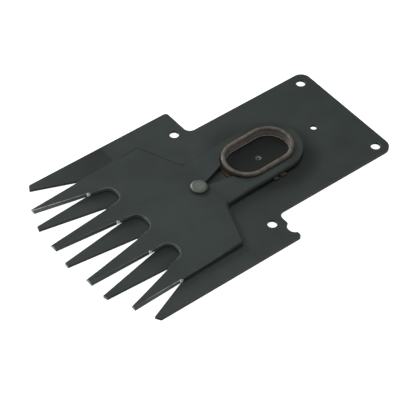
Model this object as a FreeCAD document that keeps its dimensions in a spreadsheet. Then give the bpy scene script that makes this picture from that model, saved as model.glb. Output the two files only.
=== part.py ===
import FreeCAD, Part
import math
import os
from types import SimpleNamespace

import Sketcher

# Grass shears blade: a five-tooth lower blade, a four-tooth upper blade that swings
# over it on a rivet, and the oval slot liner that the drive pin works in.
# Frame: millimetres, +Z up, origin on the pivot axis at the lower blade's underside,
# teeth towards -Y, fixing tang towards +Y.

doc = FreeCAD.newDocument("GrassShearsBlade")
sheet = doc.addObject("Spreadsheet::Sheet", "Sizes")

# Driving dimensions. A width, spacing or diameter is across the whole feature, a
# place or end is measured from the pivot axis, an inset from the side, and an angle is
# in degrees. A gap or tooth is as wide as at the roots of the gaps.
DIMENSIONS = {
    "lower_sheet": 1.3,
    "front_width": 83.9,
    "tang_width": 55.2,
    "tang_end": 75.7,
    "shoulder_end": 16.4,
    "tang_corner_radius": 4.3,
    "shoulder_corner_radius": 1.5,
    "inner_corner_radius": 3.0,
    "outer_tip_round": 0.8,
    "middle_tooth_reach": 62.15,
    "middle_reach_width": 27.2,
    "outer_reach": 58.4,
    "outer_reach_width": 55.2,
    "side_reach": 50.1,
    "lower_gap_end": 27.0,
    "lower_gap_round": 2.4,
    "near_gap_place": 9.5,
    "near_gap_width": 8.0,
    "near_gap_inner_angle": 7.25,
    "near_gap_outer_angle": 11.65,
    "far_gap_width": 5.7,
    "far_gap_inner_angle": 3.1,
    "far_gap_outer_angle": 22.1,
    "outer_tooth_width": 12.15,
    "fixing_hole": 3.9,
    "rear_hole_spacing": 45.5,
    "rear_hole_place": 70.5,
    "front_hole_spacing": 60.6,
    "front_hole_place": 11.4,
    "locating_hole": 2.7,
    "locating_hole_place": 57.9,
    "dimple_place": 29.4,
    "dimple_ball": 1.6,
    "dimple_depth": 0.5,
    "notch_radius": 3.1,
    "notch_inset": 5.55,
    "notch_rise": 1.1,
    "upper_sheet": 1.5,
    "blade_gap": 0.03,
    "park_angle": 1.5,
    "upper_width": 63.8,
    "upper_inner_reach": 61.3,
    "upper_inner_width": 34.0,
    "upper_outer_reach": 56.3,
    "upper_outer_width": 48.0,
    "upper_rear_corner": 4.9,
    "upper_waist": 2.6,
    "upper_waist_radius": 3.2,
    "upper_corner_radius": 1.6,
    "upper_gap_end": 25.9,
    "upper_gap_round": 3.6,
    "mid_gap_width": 9.1,
    "mid_gap_angle": 7.25,
    "side_gap_width": 7.8,
    "side_gap_inner_angle": 2.4,
    "side_gap_outer_angle": 14.2,
    "side_tooth_width": 10.0,
    "ground_start": 34.5,
    "ground_start_width": 0.4,
    "ground_tip_width": 1.0,
    "ground_land": 0.2,
    "first_set_start": 22.0,
    "first_set_end": 6.0,
    "first_set_rise": 0.4,
    "second_set_start": 5.0,
    "second_set_end": 13.0,
    "second_set_rise": 0.5,
    "arm_width": 26.6,
    "arm_offset": 0.2,
    "slot_place": 29.55,
    "slot_straight": 11.66,
    "slit_start": 3.0,
    "slit_start_width": 1.7,
    "slit_mouth_width": 7.3,
    "slit_mouth_place": 13.2,
    "rivet_shank": 3.6,
    "rivet_head": 6.8,
    "rivet_head_height": 1.0,
    "rivet_head_edge": 0.6,
    "rivet_head_flat": 5.4,
    "rivet_tail": 5.2,
    "rivet_tail_depth": 0.7,
    "rivet_running_gap": 0.05,
    "liner_opening": 16.1,
    "liner_wall": 2.0,
    "liner_fit": 0.08,
    "liner_front_gap": 0.5,
    "liner_height": 3.8,
    "liner_rim_round": 0.9,
    "liner_base": 0.6,
    "liner_base_edge": 0.5,
    "liner_floor_gap": 0.1,
    "liner_foot_width": 2.0,
    "liner_foot_reach": 1.0,
    "liner_foot_spacing": 3.9,
    "liner_foot_place": 29.1,
}

for row, (alias, number) in enumerate(DIMENSIONS.items(), start=1):
    sheet.set("A%d" % row, alias)
    sheet.set("B%d" % row, str(number))
    sheet.setAlias("B%d" % row, alias)
doc.recompute()


class Term:
    """A length worked out from the sheet: its value now, and the expression for it."""

    def __init__(self, value, text):
        self.value = value
        self.text = text

    def __neg__(self):
        return Term(-self.value, "-(%s)" % self.text)

    def __add__(self, other):
        other = term(other)
        return Term(self.value + other.value, "(%s + %s)" % (self.text, other.text))

    def __sub__(self, other):
        other = term(other)
        return Term(self.value - other.value, "(%s - %s)" % (self.text, other.text))

    def __mul__(self, other):
        other = term(other)
        return Term(self.value * other.value, "%s * %s" % (self.text, other.text))

    def __truediv__(self, other):
        other = term(other)
        return Term(self.value / other.value, "%s / %s" % (self.text, other.text))


def term(number):
    return number if isinstance(number, Term) else Term(float(number), "(%r)" % float(number))


def tangent(angle):
    return Term(math.tan(math.radians(angle.value)), "tan(%s * 1 deg)" % angle.text)


size = SimpleNamespace(**{alias: Term(number, "Sizes." + alias)
                          for alias, number in DIMENSIONS.items()})
zero = term(0.0)


def tie(feature, name, length):
    """Bind a feature's property to the sheet."""
    feature.setExpression(name, length.text)


def new_body(label):
    body = doc.addObject("PartDesign::Body", label)
    body.Label = label
    return body


def origin_feature(body, role):
    return next(feature for feature in body.Origin.OriginFeatures if feature.Role == role)


def new_sketch(body, name, plane="XY_Plane", height=None):
    """A sketch on one of the body's own origin planes, lifted to a height."""
    sketch = body.newObject("Sketcher::SketchObject", name)
    sketch.AttachmentSupport = [(origin_feature(body, plane), "")]
    sketch.MapMode = "FlatFace"
    if height is not None:
        tie(sketch, "AttachmentOffset.Base.z", height)
    return sketch


def dimension(sketch, kind, where, length):
    number = sketch.addConstraint(Sketcher.Constraint(kind, *where, length.value))
    tie(sketch, "Constraints[%d]" % number, length)


def add_outline(sketch, corners, arcs=None):
    """A closed outline through (x, y) corners.

    arcs maps the number of a side to the (x, y) centre of the arc that it is, which
    runs counter-clockwise; every other side is straight.
    """
    arcs = arcs or {}
    first = sketch.GeometryCount
    places = [FreeCAD.Vector(x.value, y.value, 0) for x, y in corners]
    for side, start in enumerate(places):
        end = places[(side + 1) % len(places)]
        if side in arcs:
            centre = FreeCAD.Vector(arcs[side][0].value, arcs[side][1].value, 0)
            circle = Part.Circle(centre, FreeCAD.Vector(0, 0, 1), (start - centre).Length)
            sketch.addGeometry(Part.ArcOfCircle(
                circle, circle.parameter(start), circle.parameter(end)), False)
        else:
            sketch.addGeometry(Part.LineSegment(start, end), False)
    for side, (x, y) in enumerate(corners):
        after = (side + 1) % len(corners)
        sketch.addConstraint(Sketcher.Constraint("Coincident", first + side, 2, first + after, 1))
        dimension(sketch, "DistanceX", (first + side, 1), x)
        dimension(sketch, "DistanceY", (first + side, 1), y)
    for side, (_, centre_y) in arcs.items():
        dimension(sketch, "DistanceY", (first + side, 3), centre_y)


def add_circle(sketch, x, y, diameter):
    number = sketch.GeometryCount
    circle = Part.Circle(FreeCAD.Vector(x.value, y.value, 0), FreeCAD.Vector(0, 0, 1),
                         diameter.value / 2)
    sketch.addGeometry(circle, False)
    dimension(sketch, "DistanceX", (number, 3), x)
    dimension(sketch, "DistanceY", (number, 3), y)
    dimension(sketch, "Diameter", (number,), diameter)


def add_stadium(sketch, width, x, y, straight):
    """A slot outline along Y: two straight sides joined by half circles."""
    left, right = x - width / 2, x + width / 2
    front, rear = y - straight / 2, y + straight / 2
    add_outline(sketch, [(right, front), (right, rear), (left, rear), (left, front)],
                {1: (x, rear), 3: (x, front)})


def pad(body, sketch, name, length, both_ways=False):
    feature = body.newObject("PartDesign::Pad", name)
    feature.Profile = sketch
    feature.Midplane = both_ways
    tie(feature, "Length", length)
    return feature


def pocket(body, sketch, name):
    """Cut a sketch right through the body, on both sides of its plane."""
    feature = body.newObject("PartDesign::Pocket", name)
    feature.Profile = sketch
    feature.Type = "ThroughAll"
    feature.Midplane = True
    return feature


def revolve(body, sketch, name, kind):
    feature = body.newObject(kind, name)
    feature.Profile = sketch
    feature.ReferenceAxis = (sketch, ["V_Axis"])
    feature.Angle = 360.0
    return feature


def mirror_across(body, features, name):
    """Repeat cuts on the other side of the pivot line."""
    mirrored = body.newObject("PartDesign::Mirrored", name)
    mirrored.Originals = features
    mirrored.MirrorPlane = (origin_feature(body, "YZ_Plane"), [""])
    body.Tip = mirrored
    return mirrored


def upright_edges(shape, places):
    """Names of the edges along Z that stand at the given (x, y) places."""
    names = []
    for number, edge in enumerate(shape.Edges, start=1):
        ends = [vertex.Point for vertex in edge.Vertexes]
        if len(ends) != 2 or abs(ends[0].z - ends[1].z) < 0.1:
            continue
        for x, y in places:
            if all(math.hypot(end.x - x.value, end.y - y.value) < 0.05 for end in ends):
                names.append("Edge%d" % number)
                break
    return names


def round_upright_edges(body, base, name, places, radius):
    doc.recompute()
    names = upright_edges(base.Shape, places)
    if len(names) != len(places):
        raise ValueError("%s found %d edges of %d" % (name, len(names), len(places)))
    fillet = body.newObject("PartDesign::Fillet", name)
    fillet.Base = (base, names)
    tie(fillet, "Radius", radius)
    return fillet


def both_sides(x, y):
    return [(-x, y), (x, y)]


def tooth_gap(body, name, inner, outer, inner_angle, outer_angle, root, reach):
    """A gap between two teeth: its root is straight and its flanks open to the front."""
    front = -(reach + 1.0)
    depth = root - front
    sketch = new_sketch(body, name + "_sketch")
    add_outline(sketch, [
        (inner - depth * tangent(inner_angle), front),
        (outer + depth * tangent(outer_angle), front),
        (outer, root),
        (inner, root),
    ])
    return pocket(body, sketch, name)


# Lower blade: one flat stamping with five teeth, a fixing tang and four screw holes.
lower = new_body("lower_blade")
near_gap_inner = size.near_gap_place - size.near_gap_width / 2
near_gap_outer = size.near_gap_place + size.near_gap_width / 2
front_half = size.front_width / 2
far_gap_outer = front_half - size.outer_tooth_width
far_gap_inner = far_gap_outer - size.far_gap_width
tang_half = size.tang_width / 2
outer_tip = -size.side_reach

blank_sketch = new_sketch(lower, "lower_blank_sketch")
add_outline(blank_sketch, [
    (-front_half, outer_tip),
    (-size.outer_reach_width / 2, -size.outer_reach),
    (-size.middle_reach_width / 2, -size.middle_tooth_reach),
    (size.middle_reach_width / 2, -size.middle_tooth_reach),
    (size.outer_reach_width / 2, -size.outer_reach),
    (front_half, outer_tip),
    (front_half, size.shoulder_end),
    (tang_half, size.shoulder_end),
    (tang_half, size.tang_end),
    (-tang_half, size.tang_end),
    (-tang_half, size.shoulder_end),
    (-front_half, size.shoulder_end),
])
pad(lower, blank_sketch, "lower_blank", size.lower_sheet)

lower_root = -size.lower_gap_end
near_gap = tooth_gap(lower, "near_gap", near_gap_inner, near_gap_outer,
                     size.near_gap_inner_angle, size.near_gap_outer_angle,
                     lower_root, size.middle_tooth_reach)
far_gap = tooth_gap(lower, "far_gap", far_gap_inner, far_gap_outer,
                    size.far_gap_inner_angle, size.far_gap_outer_angle,
                    lower_root, size.middle_tooth_reach)
lower_gaps = mirror_across(lower, [near_gap, far_gap], "lower_gaps")

gap_corners = []
for corner in (near_gap_inner, near_gap_outer, far_gap_inner, far_gap_outer):
    gap_corners += both_sides(corner, lower_root)
gap_rounds = round_upright_edges(lower, lower_gaps, "lower_gap_rounds", gap_corners,
                                 size.lower_gap_round)
tang_rounds = round_upright_edges(lower, gap_rounds, "tang_rounds",
                                  both_sides(tang_half, size.tang_end),
                                  size.tang_corner_radius)
shoulder_rounds = round_upright_edges(lower, tang_rounds, "shoulder_rounds",
                                      both_sides(front_half, size.shoulder_end),
                                      size.shoulder_corner_radius)
inner_rounds = round_upright_edges(lower, shoulder_rounds, "inner_rounds",
                                   both_sides(tang_half, size.shoulder_end),
                                   size.inner_corner_radius)
round_upright_edges(lower, inner_rounds, "outer_tip_rounds", both_sides(front_half, outer_tip),
                    size.outer_tip_round)

# The round notch in one shoulder, which keys the blade in its housing one way round.
notch_sketch = new_sketch(lower, "shoulder_notch_sketch")
add_circle(notch_sketch, front_half - size.notch_inset, size.shoulder_end + size.notch_rise,
           size.notch_radius * 2)
pocket(lower, notch_sketch, "shoulder_notch")

hole_sketch = new_sketch(lower, "fixing_holes_sketch", height=size.lower_sheet)
for spacing, place in ((size.rear_hole_spacing, size.rear_hole_place),
                       (size.front_hole_spacing, size.front_hole_place)):
    for x, y in both_sides(spacing / 2, place):
        add_circle(hole_sketch, x, y, size.fixing_hole)
locating_sketch = new_sketch(lower, "locating_hole_sketch", height=size.lower_sheet)
add_circle(locating_sketch, zero, size.locating_hole_place, size.locating_hole)
doc.recompute()
for sketch, diameter, name in ((hole_sketch, size.fixing_hole, "fixing_holes"),
                               (locating_sketch, size.locating_hole, "locating_hole")):
    hole = lower.newObject("PartDesign::Hole", name)
    hole.Profile = sketch
    hole.DepthType = "ThroughAll"
    hole.DrillPoint = "Flat"
    tie(hole, "Diameter", diameter)
    doc.recompute()

# Shallow punch mark in the top face, seen through the slot.
dimple = lower.newObject("PartDesign::SubtractiveSphere", "punch_mark")
dimple.AttachmentSupport = [(origin_feature(lower, "XY_Plane"), "")]
dimple.MapMode = "FlatFace"
tie(dimple, "Radius", size.dimple_ball)
tie(dimple, "AttachmentOffset.Base.y", size.dimple_place)
tie(dimple, "AttachmentOffset.Base.z", size.lower_sheet - size.dimple_depth + size.dimple_ball)

# Rivet: a low flat-topped head over the upper blade, a plain shank, and a tail closed into
# a countersink, flush with the underside. The lower blade is cut to the same cone.
tail_half = size.rivet_tail / 2
shank_half = size.rivet_shank / 2
head_half = size.rivet_head / 2
above_lower = size.lower_sheet + size.blade_gap
pivot_top = above_lower + size.first_set_rise + size.upper_sheet
head_base = pivot_top + size.rivet_running_gap
head_edge = head_base + size.rivet_head_edge
head_top = head_base + size.rivet_head_height

seat_sketch = new_sketch(lower, "rivet_seat_sketch", "XZ_Plane")
add_outline(seat_sketch, [
    (zero, zero),
    (tail_half, zero),
    (shank_half, size.rivet_tail_depth),
    (shank_half, size.lower_sheet),
    (zero, size.lower_sheet),
])
revolve(lower, seat_sketch, "rivet_seat", "PartDesign::Groove")

rivet = new_body("pivot_rivet")
rivet_sketch = new_sketch(rivet, "pivot_rivet_sketch", "XZ_Plane")
add_outline(rivet_sketch, [
    (zero, zero),
    (tail_half, zero),
    (shank_half, size.rivet_tail_depth),
    (shank_half, head_base),
    (head_half, head_base),
    (head_half, head_edge),
    (size.rivet_head_flat / 2, head_top),
    (zero, head_top),
])
revolve(rivet, rivet_sketch, "turned_rivet", "PartDesign::Revolution")

# Upper blade: one sheet, set up in two gentle steps, so that only the four teeth
# lie on the lower blade and the arm clears it. It is modelled along its own axis and
# then turned to where it is parked.
upper = new_body("upper_blade")


def place_on_upper_blade(body):
    body.Placement = FreeCAD.Placement(FreeCAD.Vector(0, 0, 0), FreeCAD.Vector(0, 0, 1), 1.0)
    tie(body, "Placement.Rotation.Angle", size.park_angle)
    tie(body, "Placement.Base.z", above_lower)


place_on_upper_blade(upper)
upper_tip_line = -(size.upper_inner_reach + 1.0)
arm_half = size.arm_width / 2
slot_rear = size.slot_place + size.slot_straight / 2
slot_front = size.slot_place - size.slot_straight / 2
arm_end = slot_rear + arm_half
arm_floor = size.first_set_rise + size.second_set_rise
set_lines = [
    (upper_tip_line, zero),
    (-size.first_set_start, zero),
    (-size.first_set_end, size.first_set_rise),
    (size.second_set_start, size.first_set_rise),
    (size.second_set_end, arm_floor),
    (arm_end + 1.0, arm_floor),
]
side_sketch = new_sketch(upper, "set_sheet_sketch", "YZ_Plane")
add_outline(side_sketch, set_lines + [(y, z + size.upper_sheet) for y, z in reversed(set_lines)])
pad(upper, side_sketch, "set_sheet", size.upper_width + 2.0, both_ways=True)

upper_side = size.upper_width / 2
arm_left = size.arm_offset - arm_half
arm_right = size.arm_offset + arm_half
waste_side = size.upper_width
waste_end = size.upper_inner_reach + arm_end
inner_reach_half = size.upper_inner_width / 2
outer_reach_half = size.upper_outer_width / 2
blank_corners = [
    (-upper_side, -size.upper_outer_reach),
    (-outer_reach_half, -size.upper_outer_reach),
    (-inner_reach_half, -size.upper_inner_reach),
    (inner_reach_half, -size.upper_inner_reach),
    (outer_reach_half, -size.upper_outer_reach),
    (upper_side, -size.upper_outer_reach),
    (upper_side, -size.upper_rear_corner),
    (arm_right, size.upper_waist),
    (arm_right, slot_rear),
    (arm_left, slot_rear),
    (arm_left, size.upper_waist),
    (-upper_side, -size.upper_rear_corner),
]
blanking_sketch = new_sketch(upper, "upper_blanking_sketch")
add_outline(blanking_sketch, [
    (-waste_side, -waste_end),
    (waste_side, -waste_end),
    (waste_side, waste_end),
    (-waste_side, waste_end),
])
add_outline(blanking_sketch, blank_corners, {8: (size.arm_offset, slot_rear)})
pocket(upper, blanking_sketch, "upper_blanking")

upper_root = -size.upper_gap_end
mid_half = size.mid_gap_width / 2
side_gap_outer = upper_side - size.side_tooth_width
side_gap_inner = side_gap_outer - size.side_gap_width
mid_gap = tooth_gap(upper, "mid_gap", -mid_half, mid_half, size.mid_gap_angle,
                    size.mid_gap_angle, upper_root, size.upper_inner_reach)
side_gap = tooth_gap(upper, "side_gap", side_gap_inner, side_gap_outer,
                     size.side_gap_inner_angle, size.side_gap_outer_angle,
                     upper_root, size.upper_inner_reach)
upper_gaps = mirror_across(upper, [side_gap], "upper_gaps")
upper_corners = []
for corner in (mid_half, side_gap_inner, side_gap_outer):
    upper_corners += both_sides(corner, upper_root)
upper_rounds = round_upright_edges(upper, upper_gaps, "upper_gap_rounds", upper_corners,
                                   size.upper_gap_round)
waist_rounds = round_upright_edges(upper, upper_rounds, "upper_waist_rounds",
                                   [blank_corners[7], blank_corners[10]],
                                   size.upper_waist_radius)
round_upright_edges(upper, waist_rounds, "upper_body_rounds",
                    both_sides(upper_side, -size.upper_rear_corner), size.upper_corner_radius)

# The flanks of the upper teeth are ground from above, from a short way in front of the
# gap roots to the tips, so that they cut with their lower edges.
def flank_section(name, place, flank, width):
    """Section of what the wheel takes off a flank; width runs into the tooth."""
    section = new_sketch(upper, name, "XZ_Plane", place)
    top = size.upper_sheet
    rise = top - size.ground_land
    add_outline(section, [
        (flank, size.ground_land),
        (flank + width + width, top + rise),
        (flank - width, top + rise),
        (flank - width, size.ground_land),
    ])
    return section


def ground_flank(name, root_x, root, slope, inward):
    """Grind a flank that starts at root_x and moves by slope for each unit of reach.

    inward is 1 or -1, whichever way the tooth lies.
    """
    start = size.ground_start
    end = size.upper_inner_reach + 1.0
    rear = flank_section(name + "_start", start, root_x + (start + root) * slope,
                         size.ground_start_width * inward)
    front = flank_section(name + "_end", end, root_x + (end + root) * slope,
                          size.ground_tip_width * inward)
    loft = upper.newObject("PartDesign::SubtractiveLoft", name)
    loft.Profile = rear
    loft.Sections = [front]
    loft.Ruled = True
    return loft


ground_cuts = [
    ground_flank("mid_flank", mid_half, upper_root, tangent(size.mid_gap_angle), 1.0),
    ground_flank("inner_flank", side_gap_inner, upper_root,
                 -tangent(size.side_gap_inner_angle), -1.0),
    ground_flank("outer_flank", side_gap_outer, upper_root,
                 tangent(size.side_gap_outer_angle), 1.0),
    ground_flank("side_flank", upper_side, upper_root, zero, -1.0),
]
mirror_across(upper, ground_cuts, "ground_flanks")

# The slot for the liner, eased at its front end, and the tapered slit that runs from
# it to the pivot.
liner_outside = size.liner_opening + size.liner_wall * 2
slot_width = liner_outside + size.liner_fit * 2
slot_sketch = new_sketch(upper, "liner_slot_sketch")
add_stadium(slot_sketch, slot_width, size.arm_offset, size.slot_place, size.slot_straight)
pocket(upper, slot_sketch, "liner_slot")
relief_sketch = new_sketch(upper, "slot_front_sketch")
add_circle(relief_sketch, size.arm_offset, slot_front - size.liner_front_gap, slot_width)
pocket(upper, relief_sketch, "slot_front")

slit_start_half = size.slit_start_width / 2
slit_mouth_half = size.slit_mouth_width / 2
slit_growth = (slit_mouth_half - slit_start_half) / (size.slit_mouth_place - size.slit_start)
slit_end = slot_front - size.liner_opening / 2
slit_end_half = slit_start_half + slit_growth * (slit_end - size.slit_start)
slit_sketch = new_sketch(upper, "pivot_slit_sketch")
add_outline(slit_sketch, [
    (size.arm_offset - slit_start_half, size.slit_start),
    (size.arm_offset + slit_start_half, size.slit_start),
    (size.arm_offset + slit_end_half, slit_end),
    (size.arm_offset - slit_end_half, slit_end),
])
pocket(upper, slit_sketch, "pivot_slit")

bore_sketch = new_sketch(upper, "pivot_bore_sketch")
add_circle(bore_sketch, zero, zero, size.rivet_shank + size.rivet_running_gap * 2)
pocket(upper, bore_sketch, "pivot_bore")

# Slot liner: a moulded oval collar with a rounded rim, which stands in the slot on a
# thin base. Two feet a side reach out from the base below the arm.
liner = new_body("slot_liner")
place_on_upper_blade(liner)
liner_floor = size.liner_floor_gap - size.blade_gap
base_sketch = new_sketch(liner, "liner_base_sketch", height=liner_floor)
base_width = liner_outside + size.liner_base_edge * 2
add_stadium(base_sketch, base_width, size.arm_offset, size.slot_place, size.slot_straight)
pad(liner, base_sketch, "liner_base", size.liner_base)

foot_reach = arm_half + size.liner_foot_reach
foot_half = size.liner_foot_width / 2
for name, shift in (("front", -size.liner_foot_spacing / 2), ("rear", size.liner_foot_spacing / 2)):
    middle = size.liner_foot_place + shift
    foot_sketch = new_sketch(liner, name + "_feet_sketch", height=liner_floor)
    add_outline(foot_sketch, [
        (size.arm_offset - foot_reach, middle - foot_half),
        (size.arm_offset + foot_reach, middle - foot_half),
        (size.arm_offset + foot_reach, middle + foot_half),
        (size.arm_offset - foot_reach, middle + foot_half),
    ])
    pad(liner, foot_sketch, name + "_feet", size.liner_base)

collar_sketch = new_sketch(liner, "liner_collar_sketch", height=liner_floor)
add_stadium(collar_sketch, liner_outside, size.arm_offset, size.slot_place, size.slot_straight)
pad(liner, collar_sketch, "liner_collar", size.liner_height)
opening_sketch = new_sketch(liner, "liner_opening_sketch")
add_stadium(opening_sketch, size.liner_opening, size.arm_offset, size.slot_place,
            size.slot_straight)
opening = pocket(liner, opening_sketch, "liner_opening_cut")

doc.recompute()
rim_height = (liner_floor + size.liner_height).value
rim_edges = ["Edge%d" % number for number, edge in enumerate(opening.Shape.Edges, start=1)
             if all(abs(vertex.Z - rim_height) < 0.01 for vertex in edge.Vertexes)]
rim = liner.newObject("PartDesign::Fillet", "liner_rim")
rim.Base = (opening, rim_edges)
tie(rim, "Radius", size.liner_rim_round)

doc.recompute()

SUB_PARTS = [lower, rivet, upper, liner]
for item in doc.Objects:
    if "Invalid" in item.State or "Error" in item.State:
        raise RuntimeError("%s failed" % item.Label)
for item in SUB_PARTS:
    if item.Shape.isNull() or not item.Shape.isValid():
        raise RuntimeError("%s has no valid shape" % item.Label)

os.makedirs("parts", exist_ok=True)
for item in SUB_PARTS:
    item.Shape.exportStep("parts/%s.step" % item.Label)
    print("%s: %d solid, %.2f mm3" % (item.Label, len(item.Shape.Solids), item.Shape.Volume))
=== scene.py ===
import math

import bpy
from mathutils import Matrix, Vector


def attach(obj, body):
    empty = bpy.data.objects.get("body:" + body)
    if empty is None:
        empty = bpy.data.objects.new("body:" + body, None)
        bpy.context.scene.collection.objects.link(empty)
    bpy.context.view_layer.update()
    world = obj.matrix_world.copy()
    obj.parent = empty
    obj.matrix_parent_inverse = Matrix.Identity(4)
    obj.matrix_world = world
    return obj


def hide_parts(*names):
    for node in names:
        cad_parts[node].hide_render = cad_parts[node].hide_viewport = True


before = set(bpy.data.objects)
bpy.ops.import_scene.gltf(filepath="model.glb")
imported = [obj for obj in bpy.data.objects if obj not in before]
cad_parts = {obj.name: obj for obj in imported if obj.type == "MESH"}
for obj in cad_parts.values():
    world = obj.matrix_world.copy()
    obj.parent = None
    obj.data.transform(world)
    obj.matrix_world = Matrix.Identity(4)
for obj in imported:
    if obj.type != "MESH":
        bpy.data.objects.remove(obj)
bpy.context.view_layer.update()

# The photographer's bench: a glowing white table, a broad soft light from the left, weak
# ones in front, overhead and behind, and a long lens that looks down at the blade's right
# front corner. Lengths are given in millimetres, and MM turns them into metres.
MM = 0.001
CAMERA_PLACE = Vector((382.171, -310.219, 513.317)) * MM
CAMERA_TURNS = (("Z", 51.8067), ("Y", -0.8854), ("X", 43.5804))
CAMERA_LENS = 166.70
SENSOR_WIDTH = 36.0
TABLE_SIZE = 6000 * MM
TABLE_HEIGHT = -0.15 * MM
scene = bpy.context.scene
scene.view_settings.view_transform = "Standard"


def deselect_all():
    for item in bpy.context.selected_objects:
        item.select_set(False)


def feed(node, sockets):
    """Set each named socket of a node to a value, or link it to another node's socket."""
    for label, value in sockets.items():
        if isinstance(value, bpy.types.NodeSocket):
            node.id_data.links.new(value, node.inputs[label])
        else:
            node.inputs[label].default_value = value


def new_material(name):
    """A material with one Principled shader, and that shader."""
    material = bpy.data.materials.new(name)
    material.use_nodes = True
    return material, material.node_tree.nodes["Principled BSDF"]


deselect_all()
bpy.ops.object.camera_add()
camera = bpy.context.object
camera.name = "bench_camera"
camera_stand = Matrix.Translation(CAMERA_PLACE)
for axis, degrees in CAMERA_TURNS:
    camera_stand = camera_stand @ Matrix.Rotation(math.radians(degrees), 4, axis)
camera.matrix_world = camera_stand
camera.data.sensor_width = SENSOR_WIDTH
camera.data.lens = CAMERA_LENS
scene.camera = camera

deselect_all()
bpy.ops.mesh.primitive_plane_add(size=TABLE_SIZE, location=(0, 0, TABLE_HEIGHT))
table = bpy.context.object
table.name = "table_top"
table_white, shader = new_material("table_white")
feed(shader, {
    "Base Color": (0.3, 0.3, 0.3, 1),
    "Roughness": 0.9,
    "Specular IOR Level": 0.1,
    "Emission Color": (1, 1, 1, 1),
    "Emission Strength": 1.0,
})
table.data.materials.append(table_white)

world = bpy.data.worlds.new("studio_air")
world.use_nodes = True
feed(world.node_tree.nodes["Background"], {"Color": (0.95, 0.98, 1.0, 1), "Strength": 0.38})
scene.world = world


def softbox(name, place, width, depth, watts):
    """A rectangular light in millimetres that shines from a place at the blade's pivot."""
    deselect_all()
    bpy.ops.object.light_add(type="AREA", location=Vector(place) * MM)
    box = bpy.context.object
    box.name = name
    box.data.shape = "RECTANGLE"
    box.data.size = width * MM
    box.data.size_y = depth * MM
    box.data.energy = watts
    box.rotation_euler = (-Vector(place)).to_track_quat("-Z", "Y").to_euler()


softbox("left_softbox", (-900, -60, 380), 420, 320, 7.2)
softbox("front_softbox", (-330, -600, 640), 170, 120, 1.3)
softbox("overhead_softbox", (-160, 60, 900), 520, 520, 3.4)
softbox("rear_softbox", (620, 420, 420), 200, 120, 0.5)


# Lower blade: spring steel sheet, blanked in one stroke, hardened and left with its dark oxide
# skin. The stroke leaves an edge all round, rubbed a little bright and lightened further as a
# painted highlight. Its top is darkened round the arm partly by a greasy layer from the drive and
# partly by painted shadow of the arm, in the slot by painted shade and a greasy layer, where the
# upper blade wipes it by a wiped greasy layer, and in the upper blade's tooth gaps also by painted
# shade. The tips' front faces are bare and carry a painted highlight, and the punch mark has
# painted shade in its hollow and a painted highlight round it.
SCUFF_COLOUR = (0.10, 0.11, 0.105, 1)
# Dark colour of greasy layers, also used for painted shade and shadow.
GREASE_AND_SHADE_COLOUR = (0.0072, 0.0086, 0.0070, 1)
# Colour of bare steel, also used for painted highlights.
BARE_STEEL_AND_HIGHLIGHT = (0.62, 0.64, 0.63, 1)
DUST_COLOUR = (0.070, 0.052, 0.039, 1)
EVERY_HEIGHT = 1000.0
GRAIN_RELIEF = 0.02 * MM
SAME_POINT = 0.001 * MM
SAME_PLANE = math.radians(0.4)
SHARP_EDGE = math.radians(32)
SMOOTH_UP_TO = math.radians(30)
LEVEL = 0.98
FACING = 0.9
STEEP = 0.5
TOP_SKIN = (0.9, 1.2)
PUNCH_MARK = Vector((0, 29.4))
PUNCH_REACH = 1.2
PUNCH_HEIGHTS = (0.3, 1.29)
TIPS_FROM = -45.0
# The greasy layer where the upper blade wipes: a strip beside its left side, and between its teeth
# from one side to the other, where in the tooth gaps it also stands for painted shade. Each pair
# is the stretch over which the layer comes or goes.
WIPED_LEFT = (-31.5, -30.0)
WIPED_RIGHT = (30.0, 31.5)
STRIP_REAR = (-17.2, -15.6)
STRIP_FADE = (-50.0, -24.0)
ROOTS_REAR = (-20.0, -17.0)
ROOTS_FADE = (-44.0, -29.0)
WIPED_FILM_AND_GAP_SHADE = 0.62
# Strength of the painted shade and greasy layer on the slot floor.
SLOT_SHADE_AND_FILM = 0.95
# Marks round the arm: the first partly a greasy layer and partly painted shadow of the arm, the
# second a greasy layer, and the third painted soft shadow round the arm's edges. Each gives the
# middle, the two radii, the shares of those radii between which the mark fades, and its strength.
GREASE_AND_SHADOW_MARKS = (
    ((4, 31), (25, 26), 0.4, 1.0, 0.38),
    ((-15, 27), (11, 17), 0.1, 1.0, 0.45),
    ((2.8, 33.5), (19, 20), 0.8, 1.13, 0.66),
)


def new_group(name, inputs, outputs):
    """A shader node group with (name, socket type, default) inputs; gives its two ends too."""
    group = bpy.data.node_groups.new(name, "ShaderNodeTree")
    for label, kind, value in inputs:
        socket = group.interface.new_socket(name=label, in_out="INPUT", socket_type=kind)
        socket.default_value = value
    for label, kind in outputs:
        group.interface.new_socket(name=label, in_out="OUTPUT", socket_type=kind)
    return group, group.nodes.new("NodeGroupInput"), group.nodes.new("NodeGroupOutput")


def add_node(tree, kind, sockets, **settings):
    """A new node with its settings made and its sockets fed."""
    node = tree.nodes.new(kind)
    for label, value in settings.items():
        setattr(node, label, value)
    feed(node, sockets)
    return node


# A socket knows the node tree it is in, so the next helpers add their nodes beside it.
def noise(vector, scale, detail, roughness=0.5):
    node = add_node(vector.id_data, "ShaderNodeTexNoise", {
        "Vector": vector, "Scale": scale, "Detail": detail, "Roughness": roughness})
    return node.outputs["Fac"]


def spread(value, low, high, to_low=0.0, to_high=1.0, smooth=False):
    """Map a value from one range to another, held at the ends."""
    node = add_node(value.id_data, "ShaderNodeMapRange", {
        "Value": value, "From Min": low, "From Max": high, "To Min": to_low, "To Max": to_high,
    }, interpolation_type="SMOOTHSTEP" if smooth else "LINEAR")
    return node.outputs["Result"]


def maths(operation, first, second):
    """Combine two values, of which at least one is a socket."""
    tree = (first if isinstance(first, bpy.types.NodeSocket) else second).id_data
    node = add_node(tree, "ShaderNodeMath", {0: first, 1: second}, operation=operation)
    return node.outputs["Value"]


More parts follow.
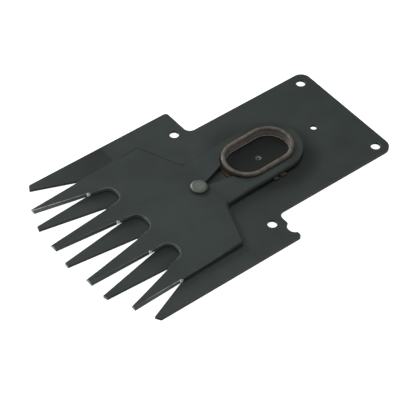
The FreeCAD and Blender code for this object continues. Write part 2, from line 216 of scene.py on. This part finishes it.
def times(first, second):
    return maths("MULTIPLY", first, second)


def larger(first, second):
    return maths("MAXIMUM", first, second)


def mix_colour(factor, first, second):
    node = add_node(factor.id_data, "ShaderNodeMix", {
        "Factor": factor, "A": first, "B": second}, data_type="RGBA")
    return node.outputs["Result"]


def turned(vector, angle=0.0, unit=MM):
    """Coordinates turned by an angle in degrees, in millimetres as a rule."""
    node = add_node(vector.id_data, "ShaderNodeMapping", {
        "Vector": vector, "Rotation": (0, 0, math.radians(angle)), "Scale": (unit, unit, unit),
    }, vector_type="TEXTURE")
    return node.outputs["Vector"]


def axes(vector, angle=0.0):
    """A point's x, y and z in millimetres along axes turned by an angle in degrees."""
    split = add_node(vector.id_data, "ShaderNodeSeparateXYZ", {"Vector": turned(vector, angle)})
    return split.outputs["X"], split.outputs["Y"], split.outputs["Z"]


# A soft oval mark: 1 inside, 0 outside. Inner and outer are shares of its radii, between
# which it fades.
oval_mark, given, out = new_group("oval_mark", [
    ("Vector", "NodeSocketVector", (0, 0, 0)),
    ("Centre", "NodeSocketVector", (0, 0, 0)),
    ("Radii", "NodeSocketVector", (0.01, 0.01, EVERY_HEIGHT)),
    ("Turn", "NodeSocketVector", (0, 0, 0)),
    ("Inner", "NodeSocketFloat", 0.5),
    ("Outer", "NodeSocketFloat", 1.0),
], [
    ("Mask", "NodeSocketFloat"),
])
place = add_node(oval_mark, "ShaderNodeMapping", {
    "Vector": given.outputs["Vector"],
    "Location": given.outputs["Centre"],
    "Rotation": given.outputs["Turn"],
    "Scale": given.outputs["Radii"],
}, vector_type="TEXTURE")
far = add_node(oval_mark, "ShaderNodeVectorMath", {0: place.outputs["Vector"]}, operation="LENGTH")
feed(out, {"Mask": spread(far.outputs["Value"], given.outputs["Inner"], given.outputs["Outer"],
                          1.0, 0.0, True)})


def oval(vector, centre, radii, inner, outer, angle=0.0):
    """Place an oval mark with its centre and radii in millimetres and its angle in degrees."""
    mark = add_node(vector.id_data, "ShaderNodeGroup", {
        "Vector": vector,
        "Centre": (centre[0] * MM, centre[1] * MM, 0),
        "Radii": (radii[0] * MM, radii[1] * MM, EVERY_HEIGHT),
        "Turn": (0, 0, math.radians(angle)),
        "Inner": inner,
        "Outer": outer,
    }, node_tree=oval_mark)
    return mark.outputs["Mask"]


# The steel's oxide skin: soft clouds between two tones, scuffs, darkening by greasy layers and by
# painted shade, and the rolling lines and fine grain of the sheet.
oxide_skin, given, out = new_group("oxide_skin", [
    ("Vector", "NodeSocketVector", (0, 0, 0)),
    ("Dark", "NodeSocketColor", (0.03, 0.04, 0.04, 1)),
    ("Light", "NodeSocketColor", (0.06, 0.07, 0.07, 1)),
    ("Scuffs", "NodeSocketFloat", 0.3),
    ("GreaseAndShade", "NodeSocketFloat", 0.0),
], [
    ("Color", "NodeSocketColor"),
    ("Roughness", "NodeSocketFloat"),
    ("Height", "NodeSocketFloat"),
])
vector = given.outputs["Vector"]
clouds = noise(vector, 30.0, 3.0, 0.55)
blotches = noise(vector, 130.0, 4.0, 0.6)
tone = spread(maths("ADD", times(clouds, 0.65), times(blotches, 0.35)), 0.36, 0.64)
rolled = add_node(oxide_skin, "ShaderNodeMapping", {"Vector": vector, "Scale": (1.0, 0.06, 1.0)})
rolling_lines = noise(rolled.outputs["Vector"], 2600.0, 2.0)
grain = noise(vector, 3200.0, 3.0, 0.7)
scuffs = times(spread(noise(vector, 420.0, 5.0, 0.7), 0.6, 0.74), given.outputs["Scuffs"])
skin = mix_colour(tone, given.outputs["Dark"], given.outputs["Light"])
skin = mix_colour(scuffs, skin, SCUFF_COLOUR)
skin = mix_colour(given.outputs["GreaseAndShade"], skin, GREASE_AND_SHADE_COLOUR)
rough = maths("SUBTRACT", spread(tone, 0.0, 1.0, 0.44, 0.5), times(scuffs, 0.12))
feed(out, {
    "Color": skin,
    "Roughness": maths("ADD", rough, times(rolling_lines, 0.08)),
    "Height": maths("ADD", times(rolling_lines, 0.5), times(grain, 0.5)),
})


def oxide_steel(name, dark, light, scuffs, bump, metallic, grease_and_shade=None, marks=None,
                mark_colour=BARE_STEEL_AND_HIGHLIGHT, gloss=0.2):
    """Oxidised steel with the skin's clouds, scuffs and rolling lines.

    A darkening mask draws, from the coordinates, the places darkened by greasy layers and by
    painted shade, and the marks mask draws the places that have the marks' colour, some of them
    painted highlights.
    """
    material, shader = new_material(name)
    tree = material.node_tree
    where = tree.nodes.new("ShaderNodeTexCoord").outputs["Object"]
    skin = add_node(tree, "ShaderNodeGroup", {
        "Vector": where, "Dark": (*dark, 1), "Light": (*light, 1), "Scuffs": scuffs,
    }, node_tree=oxide_skin)
    if grease_and_shade:
        feed(skin, {"GreaseAndShade": grease_and_shade(where)})
    colour = skin.outputs["Color"]
    if marks:
        colour = mix_colour(marks(where), colour, mark_colour)
    relief = add_node(tree, "ShaderNodeBump", {
        "Strength": bump, "Distance": GRAIN_RELIEF, "Height": skin.outputs["Height"]})
    feed(shader, {
        "Base Color": colour,
        "Roughness": skin.outputs["Roughness"],
        "Normal": relief.outputs["Normal"],
        "Metallic": metallic,
        "Specular IOR Level": gloss,
    })
    return material


def eased_copy(node, name, width, finishes, edge_finish, choose=None, cuts=()):
    """A copy of a solid with its sharp edges eased and given the edge finish passed in, on the
    plates partly wear and partly a painted highlight.

    choose gives a face's finish from its normal and its centre in millimetres, and
    cuts are (place, direction) planes that part the faces where their finish changes.
    """
    deselect_all()
    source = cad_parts[node]
    copy = source.copy()
    copy.data = source.data.copy()
    copy.parent = None
    copy.name = name
    copy.data.name = name
    scene.collection.objects.link(copy)
    copy.data.materials.clear()
    copy.select_set(True)
    bpy.context.view_layer.objects.active = copy
    bpy.ops.object.mode_set(mode="EDIT")
    bpy.ops.mesh.select_all(action="SELECT")
    bpy.ops.mesh.remove_doubles(threshold=SAME_POINT)
    bpy.ops.mesh.dissolve_limited(angle_limit=SAME_PLANE)
    for place, direction in cuts:
        bpy.ops.mesh.select_all(action="SELECT")
        bpy.ops.mesh.bisect(plane_co=Vector(place) * MM, plane_no=direction)
    bpy.ops.mesh.select_all(action="SELECT")
    bpy.ops.mesh.normals_make_consistent(inside=False)
    bpy.ops.object.mode_set(mode="OBJECT")
    for finish in finishes:
        copy.data.materials.append(finish)
    if choose:
        for face in copy.data.polygons:
            face.material_index = finishes.index(choose(face.normal, face.center / MM))
    edge = copy.modifiers.new("eased_edge", "BEVEL")
    edge.width = width * MM
    edge.segments = 1
    edge.limit_method = "ANGLE"
    edge.angle_limit = SHARP_EDGE
    edge.material = finishes.index(edge_finish)
    edge.harden_normals = False
    return copy


def finish_piece(piece, body, node, touch=None, bent=None):
    """Apply what is live on a piece, shade it and hand it to its body.

    touch gives the finish of an eased edge that differs from the rest, or None, and
    bent says whether a level face is part of a rounded bend.
    """
    deselect_all()
    piece.select_set(True)
    bpy.context.view_layer.objects.active = piece
    for live in list(piece.modifiers):
        bpy.ops.object.modifier_apply(modifier=live.name)
    bpy.ops.object.shade_smooth_by_angle(angle=SMOOTH_UP_TO)
    finishes = list(piece.data.materials)
    for face in piece.data.polygons:
        if abs(face.normal.z) > LEVEL:
            face.use_smooth = bool(bent and bent(face.center / MM))
        special = touch(face.normal, face.center / MM) if touch else None
        if special:
            face.material_index = finishes.index(special)
    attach(piece, body)
    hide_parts(node)


def on_top(vector, mark):
    """Keep a mark off the lower blade's underside."""
    height = axes(vector)[2]
    return times(mark, spread(height, *TOP_SKIN))


def lower_grease_and_shade(vector):
    """Darkening by painted shade and a greasy layer in the slot, by a greasy layer and painted
    shadow round the arm, by a wiped layer beside the teeth, and by a wiped layer and painted shade
    between them.

    The floor of the slit behind the rivet and the underside are left clear of it.
    """
    x, y, _ = axes(vector)
    beside = times(spread(y, *STRIP_REAR, 1.0, 0.0, True), spread(x, *WIPED_LEFT, 1.0, 0.0))
    beside = times(beside, spread(y, *STRIP_FADE, 0.1, 1.0))
    between = times(spread(y, *ROOTS_FADE, 0.0, 1.0, True), spread(y, *ROOTS_REAR, 1.0, 0.0))
    between = times(between, times(spread(x, *WIPED_LEFT), spread(x, *WIPED_RIGHT, 1.0, 0.0)))
    darkening = times(larger(beside, between), WIPED_FILM_AND_GAP_SHADE)
    for centre, radii, inner, outer, strength in GREASE_AND_SHADOW_MARKS:
        darkening = larger(darkening, times(oval(vector, centre, radii, inner, outer), strength))
    slit_floor = oval(vector, (0.9, 8.6), (3.4, 4.6), 0.7, 1.0)
    darkening = times(darkening, maths("SUBTRACT", 1.0, slit_floor))
    darkening = times(darkening, spread(noise(vector, 90.0, 3.0), 0.3, 0.7, 0.75, 1.0))
    # The slot floor under the liner: painted shade and a greasy layer.
    slot_floor = oval(vector, (0, 29.8), (10.5, 16), 0.75, 1.05)
    return on_top(vector, larger(darkening, times(slot_floor, SLOT_SHADE_AND_FILM)))


def punch_highlight_ring(vector):
    """A painted highlight ring round the punch mark, whose hollow is painted dark as painted
    shade.
    """
    rim = oval(vector, PUNCH_MARK, (1.0, 1.0), 0.85, 1.0)
    bottom = oval(vector, PUNCH_MARK, (0.7, 0.7), 0.8, 1.0)
    return times(maths("SUBTRACT", rim, bottom), 0.25)


def slit_stain(vector):
    """Brown dust that the liner has shed into the wide end of the slit."""
    dust = oval(vector, (0.5, 13.0), (4.5, 4.0), 0.2, 1.0)
    return on_top(vector, times(dust, 0.45))


blade_skin = oxide_steel("blade_skin", (0.0220, 0.0285, 0.0265), (0.0300, 0.0375, 0.0350),
                         scuffs=0.12, bump=0.25, metallic=0.25, grease_and_shade=lower_grease_and_shade,
                         marks=slit_stain, mark_colour=DUST_COLOUR)
# Eased edges: partly rubbed bright and partly a painted highlight.
edge_wear_and_highlight = oxide_steel("edge_wear_and_highlight", (0.050, 0.059, 0.056), (0.080, 0.092, 0.088),
                        scuffs=0.6, bump=0.2, metallic=0.4)
cut_skin = oxide_steel("cut_skin", (0.014, 0.017, 0.016), (0.023, 0.027, 0.026),
                       scuffs=0.2, bump=0.5, metallic=0.2, gloss=0.08)
# The punch mark's hollow, painted dark as painted shade.
punch_mark_shade = oxide_steel("punch_mark_shade", (0.010, 0.012, 0.010), (0.018, 0.021, 0.018),
                            scuffs=0.2, bump=0.2, metallic=0.3, marks=punch_highlight_ring)
# Front faces of the tooth tips: partly bare steel from wear and partly a painted highlight.
tip_wear_and_highlight = oxide_steel("tip_wear_and_highlight", (0.17, 0.18, 0.175), (0.30, 0.31, 0.30),
                       scuffs=0.3, bump=0.3, metallic=0.4)


def lower_face(normal, centre):
    """Skin on the flats, a cut edge on the walls, bare metal with a painted highlight on the tips'
    front faces, and painted shade in the punch mark.
    """
    at_mark = (centre.xy - PUNCH_MARK).length < PUNCH_REACH
    if at_mark and PUNCH_HEIGHTS[0] < centre.z < PUNCH_HEIGHTS[1]:
        return punch_mark_shade
    if normal.y < -FACING and centre.y < TIPS_FROM:
        return tip_wear_and_highlight
    return cut_skin if abs(normal.z) < STEEP else blade_skin


lower_plate = eased_copy("lower_blade", "lower_blade_plate", 0.1,
                         [blade_skin, edge_wear_and_highlight, cut_skin, punch_mark_shade, tip_wear_and_highlight],
                         edge_wear_and_highlight, lower_face)
finish_piece(lower_plate, "lower", "lower_blade")


# Upper blade: spring steel sheet, blanked and set up behind the teeth in two gentle steps, with
# the same skin. Its teeth's flanks are ground from above and painted lighter as painted light; the
# small facet where the wheel came out carries a painted glint, partly bare metal, and the upper
# edges of the ground flanks and of the tooth gaps carry painted highlights, on the flanks partly
# bare keen metal. Its walls are painted lighter as painted light, and painted shadow lies along
# its rear edges and round the rivet head. It is parked at a small angle.
PARKED = 1.5
ALONG = Vector((-math.sin(math.radians(PARKED)), math.cos(math.radians(PARKED)), 0))
BENDS = (-22.0, -6.0, 5.0, 13.0)
BEND_REACH = 2.0
GROUND_START = -34.5
STEP_REACH = 0.3
RUN_OUT = (-35.3, -34.0)
RUN_OUT_FROM = 1.7
LEFT_FLANK = -0.2
RIGHT_FLANK = 0.2
GROUND_SLOPE = (0.15, 0.9)
RUN_OUT_SLOPE = (-0.1, 0.9)
EASED_SLOPE = (0.1, 0.95)
KEEN_HEIGHTS = (2.46, 2.72)
KEEN_FADE = (-52.0, -38.0)
LEFT_TOOTH = (-19.5, -19.0)
RIGHT_TOOTH = (19.0, 19.5)
# The tooth gaps' rear line, their (middle, radius) pairs, and how far out and back they go.
GAP_REAR = -25.9
GAPS = ((-18.3, 4.5), (0.0, 4.95), (18.3, 4.5))
GAPS_SIDE = 29
GAPS_END = -20
# The rear edges run in from a corner on each side, and a painted shadow line lies along them.
UPPER_SIDE = 31.9
REAR_CORNER = -4.9
REAR_SLOPE = 0.4
EDGE_SHADOW_WIDTH = (0.3, 0.75)
WAIST = (12.5, 13.5)
SIDE_SHADOW_SPAN = (-16.0, -9.0)
UPPER_EDGE_FROM = 2.6


def keen_edge_highlight(vector):
    """Painted highlight along the ground flanks' upper edges, partly their bare keen metal,
    brightest on the outer teeth near the run-outs.
    """
    x, y, z = axes(vector)
    broken = spread(noise(vector, 260.0, 3.0, 0.6), 0.38, 0.6, 0.5, 1.0)
    top = times(spread(z, *KEEN_HEIGHTS), broken)
    near = spread(y, *KEEN_FADE, 0.1, 1.0)
    left = spread(x, *LEFT_TOOTH, 1.0, 0.0)
    right = spread(x, *RIGHT_TOOTH)
    outer = larger(left, times(right, near))
    line = times(top, larger(outer, times(near, 0.42)))
    return larger(line, times(times(outer, broken), 0.12))


def upper_film_and_shade(vector):
    """A dark layer left of the liner, partly a greasy ring and partly painted shadow round the
    rivet head, and painted shadow lines along the rear edges.
    """
    x, y, _ = axes(vector, PARKED)
    out_from_middle = maths("ABSOLUTE", x, 0)
    from_side = maths("SUBTRACT", UPPER_SIDE, out_from_middle)
    rear_edge = maths("ADD", times(from_side, REAR_SLOPE), REAR_CORNER)
    rear_shadow = spread(maths("SUBTRACT", rear_edge, y), *EDGE_SHADOW_WIDTH, 1.0, 0.0)
    rear_shadow = times(rear_shadow, spread(out_from_middle, *WAIST))
    side_shadow = times(spread(from_side, *EDGE_SHADOW_WIDTH, 1.0, 0.0), spread(y, *SIDE_SHADOW_SPAN))
    darkening = oval(vector, (-10, 40), (9, 16), 0.3, 1.0, -15)
    rivet_smear_and_shadow = oval(vector, (0.9, -0.2), (4.6, 4.6), 0.75, 1.0)
    edge_shadows = larger(rear_shadow, side_shadow)
    return larger(larger(times(darkening, 0.38), times(rivet_smear_and_shadow, 0.6)), times(edge_shadows, 0.8))


def gap_highlights_and_arm_patch(vector):
    """A painted highlight in an arc behind each tooth gap, and a lighter patch on the arm right of
    the slot.
    """
    place = turned(vector, PARKED, 1.0)
    lighter_marks = times(oval(place, (10.5, 27), (4.5, 15), 0.2, 1.0), 0.45)
    for middle, reach in GAPS:
        arc = oval(place, (middle, GAP_REAR - reach + 0.4), (reach, reach), 1.0, 1.16)
        lighter_marks = larger(lighter_marks, arc)
    return times(lighter_marks, 0.055)


upper_skin = oxide_steel("upper_skin", (0.0215, 0.0280, 0.0260), (0.0285, 0.0360, 0.0335),
                         scuffs=0.12, bump=0.3, metallic=0.25, grease_and_shade=upper_film_and_shade,
                         marks=gap_highlights_and_arm_patch)
# Cut walls of the upper blade, painted lighter as painted light.
lit_upper_wall = oxide_steel("lit_upper_wall", (0.039, 0.046, 0.044), (0.057, 0.066, 0.063),
                         scuffs=0.2, bump=0.5, metallic=0.2, gloss=0.08)
# Painted glint at the wheels' run-outs, partly bare metal.
run_out_glint = oxide_steel("run_out_glint", (0.85, 0.87, 0.86), (1.0, 1.0, 1.0),
                           scuffs=0.0, bump=0.2, metallic=0.15, gloss=0.5)
# Ground flanks, painted lighter as painted light, with a painted highlight along their upper
# edges.
lit_ground_flank = oxide_steel("lit_ground_flank", (0.065, 0.075, 0.071), (0.095, 0.107, 0.102),
                           scuffs=0.3, bump=0.4, metallic=0.4, marks=keen_edge_highlight)
# Walls in the gaps' rounded ends, painted lighter still as painted light.
lit_gap_wall = oxide_steel("lit_gap_wall", (0.10, 0.115, 0.11), (0.15, 0.165, 0.16),
                       scuffs=0.2, bump=0.4, metallic=0.3)
# Painted highlight on the eased edges in the gaps.
gap_edge_highlight = oxide_steel("gap_edge_highlight", (0.34, 0.36, 0.35), (0.52, 0.54, 0.53),
                       scuffs=0.3, bump=0.2, metallic=0.4)


def in_gap(centre):
    """Whether a place is in the rounded end of a gap, behind the ground flanks."""
    return RUN_OUT[1] < centre.dot(ALONG) < GAPS_END and abs(centre.x) < GAPS_SIDE


def at_run_out(normal, centre):
    """Whether a face is at a wheel's run-out on a right flank."""
    return RUN_OUT[0] < centre.dot(ALONG) < RUN_OUT[1] and normal.x > LEFT_FLANK


def in_bend(centre):
    return any(abs(centre.dot(ALONG) - bend) < BEND_REACH for bend in BENDS)


def upper_face(normal, centre):
    """Skin on top; on the flanks ground steel and on the walls a cut edge, both painted lighter as
    painted light; bare metal with a painted highlight on the tips' front faces, and a painted
    glint at the run-outs.
    """
    along = centre.dot(ALONG)
    faces_front = normal.dot(ALONG) < -FACING
    if faces_front and along < TIPS_FROM:
        return tip_wear_and_highlight
    if faces_front and abs(along - GROUND_START) < STEP_REACH:
        return lit_upper_wall
    if at_run_out(normal, centre) and RUN_OUT_SLOPE[0] < normal.z < RUN_OUT_SLOPE[1]:
        return run_out_glint
    if GROUND_SLOPE[0] < normal.z < GROUND_SLOPE[1] and along < GROUND_START:
        return lit_ground_flank
    if abs(normal.z) < STEEP:
        return lit_gap_wall if in_gap(centre) else lit_upper_wall
    return upper_skin


def upper_edge(normal, centre):
    """On the eased edges: a painted glint at the run-outs, the ground flanks' colour with its
    painted highlight above the right flanks, and a painted highlight in the gaps.
    """
    eased = EASED_SLOPE[0] < normal.z < EASED_SLOPE[1]
    if eased and centre.z > RUN_OUT_FROM and at_run_out(normal, centre):
        return run_out_glint
    if not eased or normal.z < STEEP or centre.z < UPPER_EDGE_FROM:
        return None
    if centre.dot(ALONG) < GROUND_START and normal.x > RIGHT_FLANK:
        return lit_ground_flank
    return gap_edge_highlight if in_gap(centre) else None


bend_cuts = [bend + side * BEND_REACH for bend in BENDS for side in (-1, 1)]
upper_plate = eased_copy("upper_blade", "upper_blade_plate", 0.14,
                         [upper_skin, edge_wear_and_highlight, lit_upper_wall, run_out_glint, lit_ground_flank,
                          lit_gap_wall, gap_edge_highlight, tip_wear_and_highlight],
                         edge_wear_and_highlight, upper_face,
                         [(ALONG * place, ALONG) for place in (*RUN_OUT, *bend_cuts)])
finish_piece(upper_plate, "upper", "upper_blade", upper_edge, in_bend)


# Rivet: bare steel, turned shank and a pressed flat head with a soft rim, dulled by
# handling. It is closed from below and carries the upper blade.
def press_ring_shade(vector):
    """Painted shade: a darker ring inside the rim, standing in for the shading of the shallow dish
    the press rolled into the head.
    """
    rim = oval(vector, (0, 0), (2.75, 2.75), 0.92, 1.0)
    dish = oval(vector, (0, 0), (2.3, 2.3), 0.9, 1.0)
    return times(maths("SUBTRACT", rim, dish), 0.3)


# Its darker ring inside the rim is painted shade.
rivet_steel = oxide_steel("rivet_steel", (0.092, 0.102, 0.088), (0.128, 0.138, 0.122),
                          scuffs=0.3, bump=0.5, metallic=0.55, grease_and_shade=press_ring_shade)
rivet = eased_copy("pivot_rivet", "pressed_rivet", 0.2, [rivet_steel], rivet_steel)
finish_piece(rivet, "lower", "pivot_rivet")


# Slot liner: grey-brown plastic, moulded in one shot and snapped into the arm's slot. Its
# opening's wall is painted lighter as painted light, with a painted highlight along its lower lip,
# its base is painted darker as painted shade, and its rim's slopes carry painted shade. Flow marks
# and orange peel cover all of it.
# Colour of the painted shade on the rim's slopes.
SLOPE_SHADE_COLOUR = (0.020, 0.014, 0.011, 1)
PEEL_RELIEF = 0.03 * MM
SLOT_MIDDLE = Vector((-0.57, 29.5))
LIP_TOP = 1.8
BASE_TOP = 2.05
WALL_TOP = 4.4
UPRIGHT = 0.3
SHADED_SLOPES = (4.5, 5.12)
moulded_surface, given, out = new_group("moulded_surface", [
    ("Vector", "NodeSocketVector", (0, 0, 0)),
    ("Dark", "NodeSocketColor", (0.03, 0.03, 0.02, 1)),
    ("Light", "NodeSocketColor", (0.08, 0.07, 0.06, 1)),
], [
    ("Color", "NodeSocketColor"),
    ("Roughness", "NodeSocketFloat"),
    ("Height", "NodeSocketFloat"),
])
flow = spread(noise(given.outputs["Vector"], 330.0, 4.0, 0.7), 0.32, 0.68)
feed(out, {
    "Color": mix_colour(flow, given.outputs["Dark"], given.outputs["Light"]),
    "Roughness": spread(flow, 0.0, 1.0, 0.62, 0.5),
    "Height": noise(given.outputs["Vector"], 1500.0, 3.0),
})


def rim_slope_shade(vector):
    """Painted shade on the rim's slopes, which leaves a lighter line along its top."""
    height = axes(vector)[2]
    return spread(height, *SHADED_SLOPES, 0.6, 0.0)


def moulded_plastic(name, dark, light, slope_shade=None):
    """Plastic with the moulded surface between a dark and a light colour.

    The slope-shade mask draws from the coordinates where painted shade darkens the plastic.
    """
    material, shader = new_material(name)
    tree = material.node_tree
    where = tree.nodes.new("ShaderNodeTexCoord").outputs["Object"]
    surface = add_node(tree, "ShaderNodeGroup", {
        "Vector": where, "Dark": (*dark, 1), "Light": (*light, 1)}, node_tree=moulded_surface)
    colour = surface.outputs["Color"]
    if slope_shade:
        colour = mix_colour(slope_shade(where), colour, SLOPE_SHADE_COLOUR)
    relief = add_node(tree, "ShaderNodeBump", {
        "Strength": 0.35, "Distance": PEEL_RELIEF, "Height": surface.outputs["Height"]})
    feed(shader, {
        "Base Color": colour,
        "Roughness": surface.outputs["Roughness"],
        "Normal": relief.outputs["Normal"],
        "Specular IOR Level": 0.35,
    })
    return material


liner_plastic = moulded_plastic("liner_plastic", (0.034, 0.028, 0.021), (0.104, 0.089, 0.071),
                                rim_slope_shade)
# The opening's wall, painted lighter as painted light.
lit_bore_wall = moulded_plastic("lit_bore_wall", (0.13, 0.115, 0.102), (0.21, 0.188, 0.170))
# A painted highlight along the opening's lower lip.
lip_highlight = moulded_plastic("lip_highlight", (0.48, 0.43, 0.38), (0.70, 0.64, 0.58))
# The base and feet, painted darker as painted shade under the arm.
shaded_base_plastic = moulded_plastic("shaded_base_plastic", (0.026, 0.022, 0.018), (0.052, 0.044, 0.037))


def liner_face(normal, centre):
    """The opening's wall is painted lighter as painted light, its lower lip carries a painted
    highlight, and the base is painted darker as painted shade.
    """
    inside = (centre.xy - SLOT_MIDDLE).dot(normal.xy) < 0
    if not inside or abs(normal.z) > UPRIGHT or centre.z > WALL_TOP:
        return shaded_base_plastic if centre.z < BASE_TOP else liner_plastic
    return lip_highlight if centre.z < LIP_TOP else lit_bore_wall


liner = eased_copy("slot_liner", "liner_moulding", 0.12,
                   [liner_plastic, lit_bore_wall, lip_highlight, shaded_base_plastic],
                   liner_plastic, liner_face, [((0, 0, LIP_TOP), (0, 0, 1))])
finish_piece(liner, "upper", "slot_liner")
